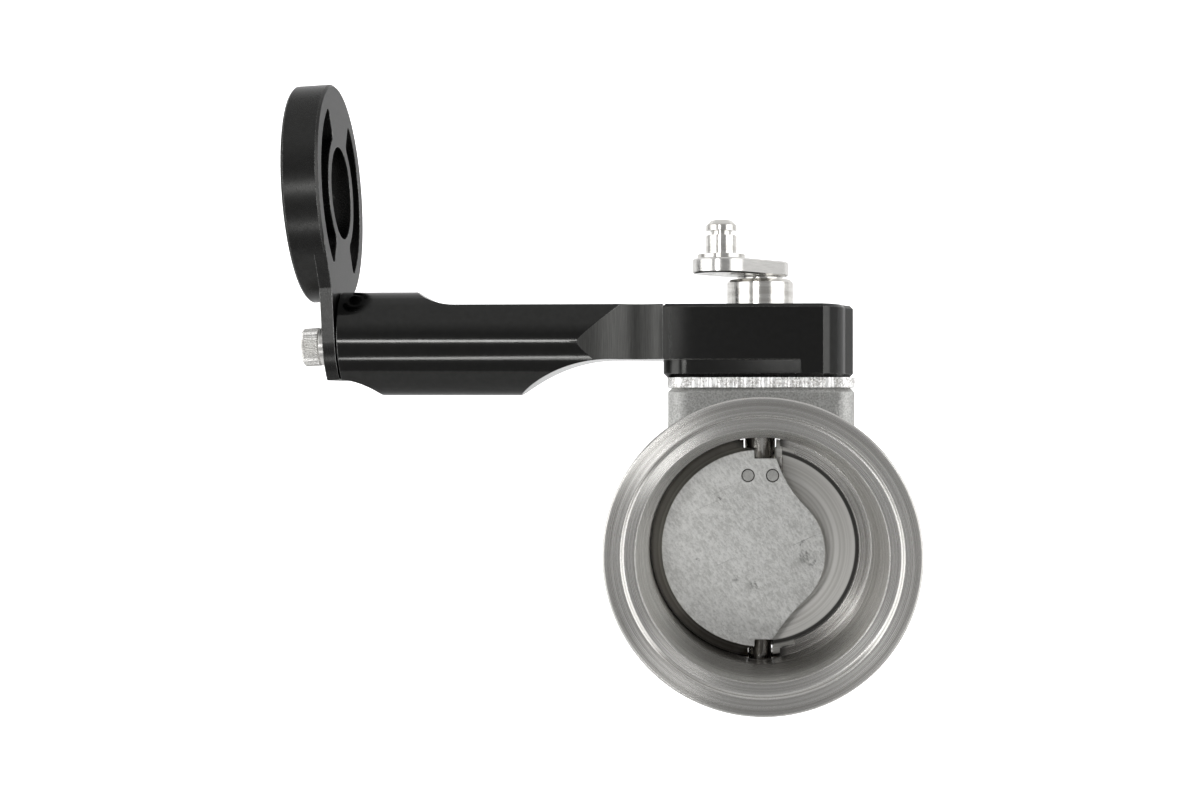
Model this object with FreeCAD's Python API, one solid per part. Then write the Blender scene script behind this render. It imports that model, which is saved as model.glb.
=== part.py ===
import FreeCAD, Part
import math
import os

from FreeCAD import Placement, Rotation, Vector

os.makedirs("parts", exist_ok=True)

# Swing-disc wastegate valve. Millimetres, +Z up. The origin is the centre of the inlet
# flange face, gas flows along +Y, the valve shaft stands upright and the arm points to -X.

# Flow path
BORE_RADIUS = 29.1
MOUTH_FLARE = 2.3
MOUTH_DEPTH = 20.0
BODY_LENGTH = 70.0

# V-band flanges, the same at both ends
INNER_LAND = 3.2
REGISTER_DEPTH = 1.6
REGISTER_BEVEL = 0.45
RIM_LAND = 4.9
RIM_THICKNESS = 3.0
RIM_TAPER_DEG = 20.0
RIM_EDGE = 0.4
NECK_WALL = 3.6
NECK_STRAIGHT = 2.5
BARREL_BULGE = 2.4

# Half-ring ledges that the disc closes against, one in front and one behind
LEDGE_WIDTH = 3.1
LEDGE_THICKNESS = 2.2
LEDGE_OFFSET = 0.8
LEDGE_RELIEF = 1.1
LEDGE_RELIEF_END = 9.0
LEDGE_START = 4.0
CAST_OVERLAP = 1.0

# Top pad of the casting
PAD_RISE = 12.8
PAD_WIDTH = 47.6
PAD_DEPTH = 44.0
PAD_CORNER = 5.0
PAD_CHAMFER = 1.2

# Lower boss of the casting
BOSS_RADIUS = 11.0
BOSS_DROP = 10.2
BOSS_BLEND = 5.0

# Shaft, bushes and plug
SHAFT_RADIUS = 4.0
PIVOT_RADIUS = 3.0
BUSH_WALL = 2.0
RUNNING_GAP = 0.05
PRESS_GAP = 0.02
LOWER_BUSH_LENGTH = 7.0
PLUG_RADIUS = 7.0
PLUG_THICKNESS = 2.6
PLUG_SOCKET = 6.0
PLUG_SOCKET_DEPTH = 1.8
END_FLOAT = 0.3

# Swing disc
DISC_GAP = 0.4
SEAT_GAP = 0.3
RIM_FRONT = 3.0
PLATEAU_HEIGHT = 6.5
BEVEL_RUN = 3.0
SEAL_LAND = 3.3
DISH_RADIUS = 16.0
DISH_DEPTH = 0.8
HUB_RADIUS = 16.9
HUB_DROP = 1.2
HUB_TOP_WEB = 4.2
HUB_BOTTOM_WEB = 3.2
HUB_TOP_HEADING_DEG = 135.0
HUB_BOTTOM_HEADING_DEG = 58.0
NOTCH_TOP = 23.5
NOTCH_BOTTOM = 23.9
NOTCH_OPEN = 26.2
NOTCH_LIP = 1.5
NOTCH_GAP = 0.3
BLADE_WIDTH = 11.6
BLADE_THICKNESS = 4.0
BLADE_LENGTH = 12.0
RIVET_RADIUS = 1.7
RIVET_PITCH = 6.4
RIVET_DROP = 4.5
PIVOT_ENGAGEMENT = 13.0

# Heat gasket between casting and bracket
GASKET_THICKNESS = 2.6
GASKET_MARGIN = 0.1
SCALLOP_PITCH = 2.2
SCALLOP_RADIUS = 0.7
SCALLOP_DEPTH = 0.35

# Actuator bracket: plate over the casting
PLATE_LEFT = 25.0
PLATE_RIGHT = 24.0
PLATE_FRONT = 23.0
PLATE_BACK = 23.0
PLATE_FOOT = 4.6
PLATE_THICKNESS = 14.1
PLATE_CORNER = 6.0
CORNER_START = 15.6
CORNER_RADIUS = 15.0
CORNER_FROM_DEG = 36.0
STEP_SETBACK = 15.5
STEP_DEPTH = 4.5
STEP_HEADING_DEG = 64.0
PLATE_CHAMFER = 0.8
FOOT_CHAMFER = 1.0
FOOT_SETBACK = 1.6
FOOT_SAG = 0.5
FOOT_MERGE = 10.0

# Actuator bracket: round arm
ARM_REACH = 108.5
ARM_RADIUS = 13.5
ARM_FORWARD = 13.0
ARM_DROP = 9.8
ARM_TILT_DEG = 2.9
FLAT_START = 78.3
FLAT_RUNOUT = 17.5
CUTTER_CLEAR = 1.5
UNDERCUT_START = 38.0
UNDERCUT_RADIUS = 35.7
END_SCALLOP_LENGTH = 10.5
END_SCALLOP_RISE = 4.0
ARM_END_CHAMFER = 0.6
NECK_START = 46.5
NECK_RADIUS = 20.0
NECK_ENTRY_DEG = 4.0
NECK_LENGTH = 10.8
REAR_BLEND_RADIUS = 18.0
REAR_BLEND_OFFSET = 9.5

# Fasteners
BOLT_RADIUS = 3.0
BOLT_HEAD_RADIUS = 5.0
BOLT_HEAD_HEIGHT = 6.0
BOLT_SOCKET = 5.0
BOLT_SOCKET_DEPTH = 3.2
BOLT_CHAMFER = 0.5
BOLT_HOLE_GAP = 0.3
COUNTERBORE_GAP = 0.6
BOLT_PITCH_X = 28.0
BOLT_PITCH_Y = 28.0
BOLT_GRIP = 11.0
BOLT_RECESS = 1.2
WASHER_THICKNESS = 1.0
DOWEL_RADIUS = 2.0
DOWEL_PITCH = 37.0
DOWEL_DEPTH = 6.0

# Bearing sleeve over the bracket and its seal
SLEEVE_RADIUS = 8.75
SLEEVE_RISE = 7.3
SLEEVE_CHAMFER = 0.8
SPIGOT_RADIUS = 7.0
SPIGOT_LENGTH = 12.0
SEAL_RADIUS = 6.0
SEAL_THICKNESS = 3.0
THRUST_RADIUS = 6.0
THRUST_THICKNESS = 0.6
LEVER_GAP = 0.2

# Crank lever and crank pin
LEVER_THICKNESS = 3.9
LEVER_END_RADIUS = 7.5
CRANK_LENGTH = 16.3
CRANK_ANGLE_DEG = 231.5
LEVER_EDGE = 0.4
SHAFT_FLAT = 2.9
COLLAR_RADIUS = 6.15
COLLAR_HEIGHT = 1.1
PIN_RADIUS = 4.0
PIN_PLAIN = 4.9
GROOVE_RADIUS = 2.65
GROOVE_WIDTH = 1.2
PIN_HEAD = 2.7
PIN_HEAD_CHAMFER = 1.3
PIN_STEM_RADIUS = 3.0

# Actuator mounting ring and its tab
RING_RADIUS = 28.5
RING_THICKNESS = 9.5
RING_RISE = 40.1
RING_SIDE = 4.8
GUIDE_RADIUS = 12.2
GUIDE_WALL = 3.0
RIM_WALL = 4.5
WINDOW_HALF_DEG = 60.0
WINDOW_CLOCK_DEG = 3.0
WINDOW_CORNER = 2.0
TAB_RADIUS = 13.4
TAB_THICKNESS = 3.2
TAB_DROP = 9.5
TAB_SHOULDER = 14.0
TAB_WASHER_RADIUS = 6.0
TAB_WASHER_THICKNESS = 1.6
RING_CHAMFER = 0.6

# Places that follow from the sizes above
MOUTH_RADIUS = BORE_RADIUS + MOUTH_FLARE
REGISTER_RADIUS = MOUTH_RADIUS + INNER_LAND
FLANGE_RADIUS = REGISTER_RADIUS + RIM_LAND
NECK_OUTER = MOUTH_RADIUS + NECK_WALL
BARREL_RADIUS = NECK_OUTER + BARREL_BULGE
AXIS_Y = BODY_LENGTH / 2
PAD_TOP = BORE_RADIUS + PAD_RISE
GASKET_TOP = PAD_TOP + GASKET_THICKNESS
FOOT_TOP = GASKET_TOP + PLATE_FOOT
PLATE_TOP = FOOT_TOP + PLATE_THICKNESS
SLEEVE_TOP = PLATE_TOP + SLEEVE_RISE
THRUST_TOP = SLEEVE_TOP + THRUST_THICKNESS
LEVER_BOTTOM = THRUST_TOP + LEVER_GAP
LEVER_TOP = LEVER_BOTTOM + LEVER_THICKNESS
BUSH_RADIUS = SHAFT_RADIUS + BUSH_WALL
BOSS_BOTTOM = -(BORE_RADIUS + BOSS_DROP)
PLUG_TOP = BOSS_BOTTOM + PLUG_THICKNESS
ARM_Y = AXIS_Y - ARM_FORWARD
ARM_Z = PLATE_TOP - ARM_DROP
PLATE_FRONT_Y = AXIS_Y - PLATE_FRONT
PLATE_BACK_Y = AXIS_Y + PLATE_BACK
CRANK_X = CRANK_LENGTH * math.cos(math.radians(CRANK_ANGLE_DEG))
CRANK_Y = AXIS_Y + CRANK_LENGTH * math.sin(math.radians(CRANK_ANGLE_DEG))
UP = Vector(0, 0, 1)
FLOW = Vector(0, 1, 0)
SHAFT_FOOT = Vector(0, AXIS_Y, 0)
SAME_PLACE = 1e-4


def outline(start, *steps):
    """Closed wire: a step is a point for a straight line, or (middle, end) for an arc."""
    edges = []
    here = start
    for step in steps + (start,):
        if isinstance(step, tuple):
            edges.append(Part.Arc(here, step[0], step[1]).toShape())
            here = step[1]
        elif here.distanceToPoint(step) > SAME_PLACE:
            edges.append(Part.LineSegment(here, step).toShape())
            here = step
    return Part.Wire(edges)


def prism(wire, direction):
    return Part.Face(wire).extrude(direction)


def turned(points, base, axis, degrees=360.0):
    """Solid of revolution of a closed outline about an axis."""
    return Part.Face(outline(*points)).revolve(base, axis, degrees)


def rod(radius, length, base, direction=UP):
    return Part.makeCylinder(radius, length, base, direction)


def block(x0, x1, y0, y1, z0, z1):
    return Part.makeBox(x1 - x0, y1 - y0, z1 - z0, Vector(x0, y0, z0))


def tangent_arc(start, heading_deg, end):
    """Middle point and end of the arc in the XY plane that leaves start along a heading."""
    chord = end - start
    half = math.radians(heading_deg) - math.atan2(chord.y, chord.x)
    side = Vector(-chord.y, chord.x, 0).normalize()
    middle = (start + end) * 0.5 + side * (chord.Length / 2 * math.tan(half / 2))
    return middle, end


def upright(wire):
    """Turns an outline drawn in the XY plane into the XZ plane."""
    wire.rotate(Vector(0, 0, 0), Vector(1, 0, 0), 90)
    return wire


def half_turn(shape):
    """Copy of a shape turned half way round the valve shaft."""
    copy = shape.copy()
    copy.rotate(SHAFT_FOOT, UP, 180)
    return copy


def rounded_block(x0, x1, y0, y1, z0, z1, corner):
    """Upright block with four rounded corners."""
    lean = corner * (1 - math.sqrt(0.5))
    wire = outline(
        Vector(x0 + corner, y0, z0),
        Vector(x1 - corner, y0, z0),
        (Vector(x1 - lean, y0 + lean, z0), Vector(x1, y0 + corner, z0)),
        Vector(x1, y1 - corner, z0),
        (Vector(x1 - lean, y1 - lean, z0), Vector(x1 - corner, y1, z0)),
        Vector(x0 + corner, y1, z0),
        (Vector(x0 + lean, y1 - lean, z0), Vector(x0, y1 - corner, z0)),
        Vector(x0, y0 + corner, z0),
        (Vector(x0 + lean, y0 + lean, z0), Vector(x0 + corner, y0, z0)),
    )
    return prism(wire, Vector(0, 0, z1 - z0))


def level_edges(shape, height, keep=lambda edge: True):
    """Edges that lie flat at one height, for a chamfer."""
    found = []
    for edge in shape.Edges:
        box = edge.BoundBox
        if abs(box.ZMin - height) < SAME_PLACE and abs(box.ZMax - height) < SAME_PLACE and keep(edge):
            found.append(edge)
    return found


def bolt_places():
    """The four bracket bolts around the shaft."""
    places = []
    for side in (-1, 1):
        for end in (-1, 1):
            places.append(Vector(side * BOLT_PITCH_X / 2, AXIS_Y + end * BOLT_PITCH_Y / 2, 0))
    return places


def dowel_places():
    return [Vector(side * DOWEL_PITCH / 2, AXIS_Y, 0) for side in (-1, 1)]


def drilled(shape, places, radius, bottom, top):
    """Shape with the same upright hole at each place."""
    for place in places:
        shape = shape.cut(rod(radius, top - bottom, place + UP * bottom))
    return shape


def cap_screw(length):
    """Socket-head cap screw, head on the plane z = 0 and shank pointing down."""
    head = turned(
        [Vector(0, 0, 0), Vector(BOLT_HEAD_RADIUS, 0, 0),
         Vector(BOLT_HEAD_RADIUS, 0, BOLT_HEAD_HEIGHT - BOLT_CHAMFER),
         Vector(BOLT_HEAD_RADIUS - BOLT_CHAMFER, 0, BOLT_HEAD_HEIGHT),
         Vector(0, 0, BOLT_HEAD_HEIGHT)],
        Vector(0, 0, 0), UP)
    shank = turned(
        [Vector(0, 0, 0), Vector(BOLT_RADIUS, 0, 0), Vector(BOLT_RADIUS, 0, BOLT_CHAMFER - length),
         Vector(BOLT_RADIUS - BOLT_CHAMFER, 0, -length), Vector(0, 0, -length)],
        Vector(0, 0, 0), UP)
    floor = BOLT_HEAD_HEIGHT - BOLT_SOCKET_DEPTH
    return head.fuse(shank).cut(hexagon(BOLT_SOCKET, floor, BOLT_HEAD_HEIGHT))


def hexagon(across_flats, bottom, top):
    """Hexagonal prism on the Z axis."""
    corner = across_flats / 2 / math.cos(math.radians(30))
    turns = [math.radians(60 * step) for step in range(6)]
    points = [Vector(corner * math.cos(turn), corner * math.sin(turn), bottom) for turn in turns]
    return prism(outline(*points), Vector(0, 0, top - bottom))


def flange_section(face, inward):
    """Corners of one V-band flange from the bore round to the neck, in the YZ plane."""
    taper = (FLANGE_RADIUS - NECK_OUTER) * math.tan(math.radians(RIM_TAPER_DEG))
    pairs = [
        (BORE_RADIUS, MOUTH_DEPTH),
        (MOUTH_RADIUS, REGISTER_DEPTH),
        (REGISTER_RADIUS - REGISTER_BEVEL, REGISTER_DEPTH),
        (REGISTER_RADIUS, REGISTER_DEPTH - REGISTER_BEVEL / 2),
        (REGISTER_RADIUS, REGISTER_BEVEL),
        (REGISTER_RADIUS + REGISTER_BEVEL, 0),
        (FLANGE_RADIUS - RIM_EDGE, 0),
        (FLANGE_RADIUS, RIM_EDGE),
        (FLANGE_RADIUS, RIM_THICKNESS),
        (NECK_OUTER, RIM_THICKNESS + taper),
        (NECK_OUTER, RIM_THICKNESS + taper + NECK_STRAIGHT),
    ]
    return [Vector(0, face + inward * depth, radius) for radius, depth in pairs]


def body_barrel():
    """Cast barrel with a V-band flange at each end, turned about the flow axis."""
    front = flange_section(0, 1)
    back = flange_section(BODY_LENGTH, -1)
    back.reverse()
    crown = Vector(0, AXIS_Y, BARREL_RADIUS)
    section = outline(front[0], *front[1:], (crown, back[0]), *back[1:])
    return Part.Face(section).revolve(Vector(0, 0, 0), FLOW, 360)


def lower_boss():
    """Boss below the barrel that holds the lower bush, blended into the barrel."""
    wide = BOSS_RADIUS + BOSS_BLEND
    top = -BORE_RADIUS - CAST_OVERLAP
    blend = top - BOSS_BLEND
    lean = BOSS_BLEND * (1 - math.sqrt(0.5))
    points = [
        Vector(0, AXIS_Y, top),
        Vector(wide, AXIS_Y, top),
        (Vector(BOSS_RADIUS + lean, AXIS_Y, top - lean), Vector(BOSS_RADIUS, AXIS_Y, blend)),
        Vector(BOSS_RADIUS, AXIS_Y, BOSS_BOTTOM + BOLT_CHAMFER),
        Vector(BOSS_RADIUS - BOLT_CHAMFER, AXIS_Y, BOSS_BOTTOM),
        Vector(0, AXIS_Y, BOSS_BOTTOM),
    ]
    return turned(points, SHAFT_FOOT, UP)


def seat_ledge():
    """Front half-ring ledge on the +X side, thinner beside the shaft where the hub swings."""
    start = AXIS_Y - LEDGE_OFFSET - LEDGE_THICKNESS
    wall = BORE_RADIUS + CAST_OVERLAP
    base = Vector(0, start, 0)
    inner = BORE_RADIUS - LEDGE_WIDTH
    wide = rod(wall, LEDGE_THICKNESS, base, FLOW).cut(rod(inner, LEDGE_THICKNESS, base, FLOW))
    thin = rod(wall, LEDGE_THICKNESS, base, FLOW)
    thin = thin.cut(rod(inner + LEDGE_RELIEF, LEDGE_THICKNESS, base, FLOW))
    end = start + LEDGE_THICKNESS
    wide = wide.common(block(LEDGE_RELIEF_END, wall, start, end, -wall, wall))
    thin = thin.common(block(LEDGE_START, LEDGE_RELIEF_END, start, end, -wall, wall))
    return wide.fuse(thin)


def valve_body():
    """Casting: barrel, flanges, pad, boss and ledges, with its machined holes."""
    half = PAD_WIDTH / 2
    near = AXIS_Y - PAD_DEPTH / 2
    far = AXIS_Y + PAD_DEPTH / 2
    pad = rounded_block(-half, half, near, far, BORE_RADIUS / 2, PAD_TOP, PAD_CORNER)
    pad = pad.makeChamfer(PAD_CHAMFER, level_edges(pad, PAD_TOP))
    hollow = turned(
        [Vector(0, MOUTH_DEPTH, 0), Vector(0, MOUTH_DEPTH, BORE_RADIUS),
         Vector(0, BODY_LENGTH - MOUTH_DEPTH, BORE_RADIUS),
         Vector(0, BODY_LENGTH - MOUTH_DEPTH, 0)],
        Vector(0, 0, 0), FLOW)
    flare = MOUTH_FLARE / (MOUTH_DEPTH - REGISTER_DEPTH)
    for face, inward in ((0, 1), (BODY_LENGTH, -1)):
        mouth = Part.makeCone(MOUTH_RADIUS + flare * REGISTER_DEPTH, BORE_RADIUS, MOUTH_DEPTH,
                              Vector(0, face, 0), FLOW * inward)
        hollow = hollow.fuse(mouth)
    outside = pad.fuse(lower_boss()).cut(hollow)
    body = body_barrel().fuse(outside)
    ledge = seat_ledge()
    body = body.fuse([ledge, half_turn(ledge)])
    bush_hole = rod(BUSH_RADIUS + PRESS_GAP, PAD_TOP - BOSS_BOTTOM, SHAFT_FOOT + UP * BOSS_BOTTOM)
    plug_hole = rod(PLUG_RADIUS + PRESS_GAP, PLUG_THICKNESS, SHAFT_FOOT + UP * BOSS_BOTTOM)
    body = body.cut([bush_hole, plug_hole])
    body = drilled(body, bolt_places(), BOLT_RADIUS + PRESS_GAP, PAD_TOP - BOLT_GRIP, PAD_TOP)
    body = drilled(body, dowel_places(), DOWEL_RADIUS + PRESS_GAP, PAD_TOP - DOWEL_DEPTH, PAD_TOP)
    return body.removeSplitter()


def bush(bottom, top):
    """Plain bearing bush around the shaft."""
    outer = rod(BUSH_RADIUS, top - bottom, SHAFT_FOOT + UP * bottom)
    return outer.cut(rod(SHAFT_RADIUS + RUNNING_GAP, top - bottom, SHAFT_FOOT + UP * bottom))


def lower_plug():
    """Threaded plug under the lower bush, with a hexagon socket."""
    plug = rod(PLUG_RADIUS, PLUG_THICKNESS, UP * BOSS_BOTTOM)
    plug = plug.makeChamfer(RIM_EDGE, level_edges(plug, BOSS_BOTTOM))
    plug = plug.cut(hexagon(PLUG_SOCKET, BOSS_BOTTOM, BOSS_BOTTOM + PLUG_SOCKET_DEPTH))
    plug.translate(SHAFT_FOOT)
    return plug


def heat_gasket():
    """Layered heat gasket with a pinched edge."""
    half = PAD_WIDTH / 2 + GASKET_MARGIN
    near = AXIS_Y - PAD_DEPTH / 2 - GASKET_MARGIN
    far = AXIS_Y + PAD_DEPTH / 2 + GASKET_MARGIN
    sheet = rounded_block(-half, half, near, far, PAD_TOP, GASKET_TOP, PAD_CORNER)
    outset = SCALLOP_RADIUS - SCALLOP_DEPTH
    pinches = []
    across = int((PAD_WIDTH / 2 - PAD_CORNER) / SCALLOP_PITCH)
    for step in range(-across, across + 1):
        for y in (near - outset, far + outset):
            centre = Vector(step * SCALLOP_PITCH, y, PAD_TOP)
            pinches.append(rod(SCALLOP_RADIUS, GASKET_THICKNESS, centre))
    along = int((PAD_DEPTH / 2 - PAD_CORNER) / SCALLOP_PITCH)
    for step in range(-along, along + 1):
        for x in (-half - outset, half + outset):
            centre = Vector(x, AXIS_Y + step * SCALLOP_PITCH, PAD_TOP)
            pinches.append(rod(SCALLOP_RADIUS, GASKET_THICKNESS, centre))
    sheet = sheet.cut(pinches)
    sheet = sheet.cut(rod(BUSH_RADIUS, GASKET_THICKNESS, SHAFT_FOOT + UP * PAD_TOP))
    sheet = drilled(sheet, bolt_places(), BOLT_RADIUS + BOLT_HOLE_GAP, PAD_TOP, GASKET_TOP)
    return drilled(sheet, dowel_places(), DOWEL_RADIUS + BOLT_HOLE_GAP, PAD_TOP, GASKET_TOP)


def plate_block(bottom, top, eased, chamfer, keep, *front_steps):
    """Bracket plate over the casting, its front right corner swept round to a short step."""
    start = Vector(CORNER_START, PLATE_FRONT_Y, bottom)
    spokes = []
    for turn_deg in (CORNER_FROM_DEG, (CORNER_FROM_DEG + 90) / 2):
        turn = math.radians(turn_deg)
        spokes.append(Vector(math.sin(turn), -math.cos(turn), 0) * CORNER_RADIUS)
    centre = start - spokes[0]
    inset = centre.x + CORNER_RADIUS
    lean = PLATE_CORNER * (1 - math.sqrt(0.5))
    right = PLATE_RIGHT
    left = -PLATE_LEFT
    back = PLATE_BACK_Y
    swept = outline(
        *front_steps,
        start,
        (centre + spokes[1], Vector(inset, centre.y, bottom)),
        Vector(inset, back - PLATE_CORNER, bottom),
        (Vector(inset - lean, back - lean, bottom), Vector(inset - PLATE_CORNER, back, bottom)),
        Vector(left + PLATE_CORNER, back, bottom),
        (Vector(left + lean, back - lean, bottom), Vector(left, back - PLATE_CORNER, bottom)),
    )
    step_end = Vector(right, PLATE_FRONT_Y + STEP_SETBACK, bottom)
    step_start = step_end - Vector(STEP_DEPTH, STEP_DEPTH * math.tan(math.radians(STEP_HEADING_DEG)), 0)
    stepped = outline(
        step_start,
        step_end,
        Vector(right, back - PLATE_CORNER, bottom),
        (Vector(right - lean, back - lean, bottom), Vector(right - PLATE_CORNER, back, bottom)),
        Vector(0, back, bottom),
        Vector(0, step_start.y, bottom),
    )
    height = Vector(0, 0, top - bottom)
    block_swept = prism(swept, height)
    block_swept = block_swept.makeChamfer(chamfer, level_edges(block_swept, eased, keep))
    block_stepped = prism(stepped, height)
    block_stepped = block_stepped.makeChamfer(chamfer, level_edges(block_stepped, eased))
    return block_swept.fuse(block_stepped)


def plate_slab():
    """Upper part of the plate, as high as the arm's milled flat."""
    corner = Vector(-PLATE_LEFT, PLATE_FRONT_Y, FOOT_TOP)
    beside_arm = PLATE_CHAMFER - PLATE_LEFT
    return plate_block(FOOT_TOP, PLATE_TOP, PLATE_TOP, PLATE_CHAMFER,
                       lambda edge: edge.BoundBox.XMax > beside_arm, corner)


def plate_foot():
    """Foot under the plate, rounded and set back at its front left."""
    left = -PLATE_LEFT
    set_back = PLATE_FRONT_Y + FOOT_SETBACK
    lean = PLATE_CORNER * (1 - math.sqrt(0.5))
    straight_end = Vector(left + PLATE_CORNER, set_back, GASKET_TOP)
    merge = Vector(FOOT_MERGE, PLATE_FRONT_Y, GASKET_TOP)
    sag = (straight_end + merge) * 0.5 + FLOW * FOOT_SAG
    return plate_block(
        GASKET_TOP, FOOT_TOP, GASKET_TOP, FOOT_CHAMFER, lambda edge: True,
        Vector(left, set_back + PLATE_CORNER, GASKET_TOP),
        (Vector(left + lean, set_back + lean, GASKET_TOP), straight_end),
        (sag, merge))


def arm_flat_cutter():
    """Milled flat on top of the arm, with the run-out of a round cutter at its far end."""
    rise = ARM_RADIUS + CUTTER_CLEAR
    sweep = math.acos(1 - ARM_DROP / FLAT_RUNOUT)
    centre = Vector(-FLAT_START, PLATE_TOP + FLAT_RUNOUT, 0)
    start = centre - Vector(math.sin(sweep), math.cos(sweep), 0) * FLAT_RUNOUT
    middle = centre - Vector(math.sin(sweep / 2), math.cos(sweep / 2), 0) * FLAT_RUNOUT
    wire = upright(outline(
        start, (middle, Vector(-FLAT_START, PLATE_TOP, 0)), Vector(0, PLATE_TOP, 0),
        Vector(0, PLATE_TOP + rise, 0), Vector(start.x, PLATE_TOP + rise, 0)))
    wire.translate(FLOW * (ARM_Y + 2 * ARM_RADIUS))
    return prism(wire, FLOW * (-4 * ARM_RADIUS))


def arm_undercut_cutter():
    """Long concave sweep under the arm that thins it to the plate."""
    depth = FOOT_TOP - (ARM_Z - ARM_RADIUS) + CUTTER_CLEAR
    run = math.sqrt(2 * UNDERCUT_RADIUS * depth - depth ** 2)
    half_turn_angle = math.asin(run / UNDERCUT_RADIUS) / 2
    middle = Vector(-UNDERCUT_START - UNDERCUT_RADIUS * math.sin(half_turn_angle),
                    FOOT_TOP - UNDERCUT_RADIUS * (1 - math.cos(half_turn_angle)), 0)
    low = FOOT_TOP - depth - CUTTER_CLEAR
    wire = upright(outline(
        Vector(-UNDERCUT_START, FOOT_TOP, 0),
        (middle, Vector(-UNDERCUT_START - run, FOOT_TOP - depth, 0)),
        Vector(-UNDERCUT_START - run, low, 0), Vector(0, low, 0), Vector(0, FOOT_TOP, 0)))
    wire.translate(FLOW * (ARM_Y + 2 * ARM_RADIUS))
    return prism(wire, FLOW * (-4 * ARM_RADIUS))


def arm_end_cutter():
    """Shallow scallop under the free end of the arm."""
    run = END_SCALLOP_LENGTH
    rise = END_SCALLOP_RISE
    radius = (run ** 2 + rise ** 2) / (2 * rise)
    drop = rise + CUTTER_CLEAR
    reach = math.sqrt(radius ** 2 - (radius - drop) ** 2)
    top = ARM_Z - ARM_RADIUS + rise
    half = math.asin(reach / radius) / 2
    end = -ARM_REACH
    middle = Vector(end + radius * math.sin(half), top - radius * (1 - math.cos(half)), 0)
    wire = upright(outline(
        Vector(end, top, 0), (middle, Vector(end + reach, top - drop, 0)),
        Vector(end - rise, top - drop, 0), Vector(end - rise, top, 0)))
    wire.translate(FLOW * (ARM_Y + 2 * ARM_RADIUS))
    return prism(wire, FLOW * (-4 * ARM_RADIUS))


def neck_cutter():
    """Front waist between the round arm and the plate: a convex turn, then a concave one."""
    entry = math.radians(NECK_ENTRY_DEG)
    centre = Vector(-NECK_START - NECK_RADIUS * math.sin(entry),
                    ARM_Y - ARM_RADIUS + NECK_RADIUS * math.cos(entry), 0)
    end_x = -NECK_START + NECK_LENGTH
    exit_angle = math.asin((end_x - centre.x) / NECK_RADIUS)
    start = centre - Vector(0, NECK_RADIUS, 0)
    half = exit_angle / 2
    middle = centre + Vector(NECK_RADIUS * math.sin(half), -NECK_RADIUS * math.cos(half), 0)
    waist = centre + Vector(NECK_RADIUS * math.sin(exit_angle), -NECK_RADIUS * math.cos(exit_angle), 0)
    corner = Vector(-PLATE_LEFT, PLATE_FRONT_Y, 0)
    clear = start.y - ARM_RADIUS
    wire = outline(
        start, (middle, waist), tangent_arc(waist, math.degrees(exit_angle), corner),
        Vector(0, PLATE_FRONT_Y, 0), Vector(0, clear, 0), Vector(start.x, clear, 0))
    tool = prism(wire, UP * (4 * ARM_RADIUS))
    tool.translate(UP * (ARM_Z - 2 * ARM_RADIUS))
    return tool


def rear_blend():
    """Concave web that carries the back of the arm into the plate."""
    y0 = ARM_Y + REAR_BLEND_OFFSET
    left = -PLATE_LEFT
    radius = REAR_BLEND_RADIUS
    lean = radius * (1 - math.sqrt(0.5))
    wire = outline(
        Vector(left - radius, y0, FOOT_TOP),
        (Vector(left - lean, y0 + lean, FOOT_TOP), Vector(left, y0 + radius, FOOT_TOP)),
        Vector(left + PLATE_CORNER, y0 + radius, FOOT_TOP),
        Vector(left + PLATE_CORNER, ARM_Y, FOOT_TOP),
        Vector(left - radius, ARM_Y, FOOT_TOP))
    return prism(wire, UP * PLATE_THICKNESS)


def ring_frame():
    """Placement of the tilted seat on the arm end, where the ring's tab is bolted."""
    return Placement(Vector(-ARM_REACH, ARM_Y, ARM_Z), Rotation(Vector(0, 1, 0), -ARM_TILT_DEG))


def ring_bolt_axis(rise=0.0):
    """Placement on the axis of the tab's screw, pointing away from the tab's left face."""
    seat = Placement(Vector(-TAB_THICKNESS - rise, 0, 0), Rotation(Vector(0, 1, 0), -90))
    return ring_frame().multiply(seat)


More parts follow.
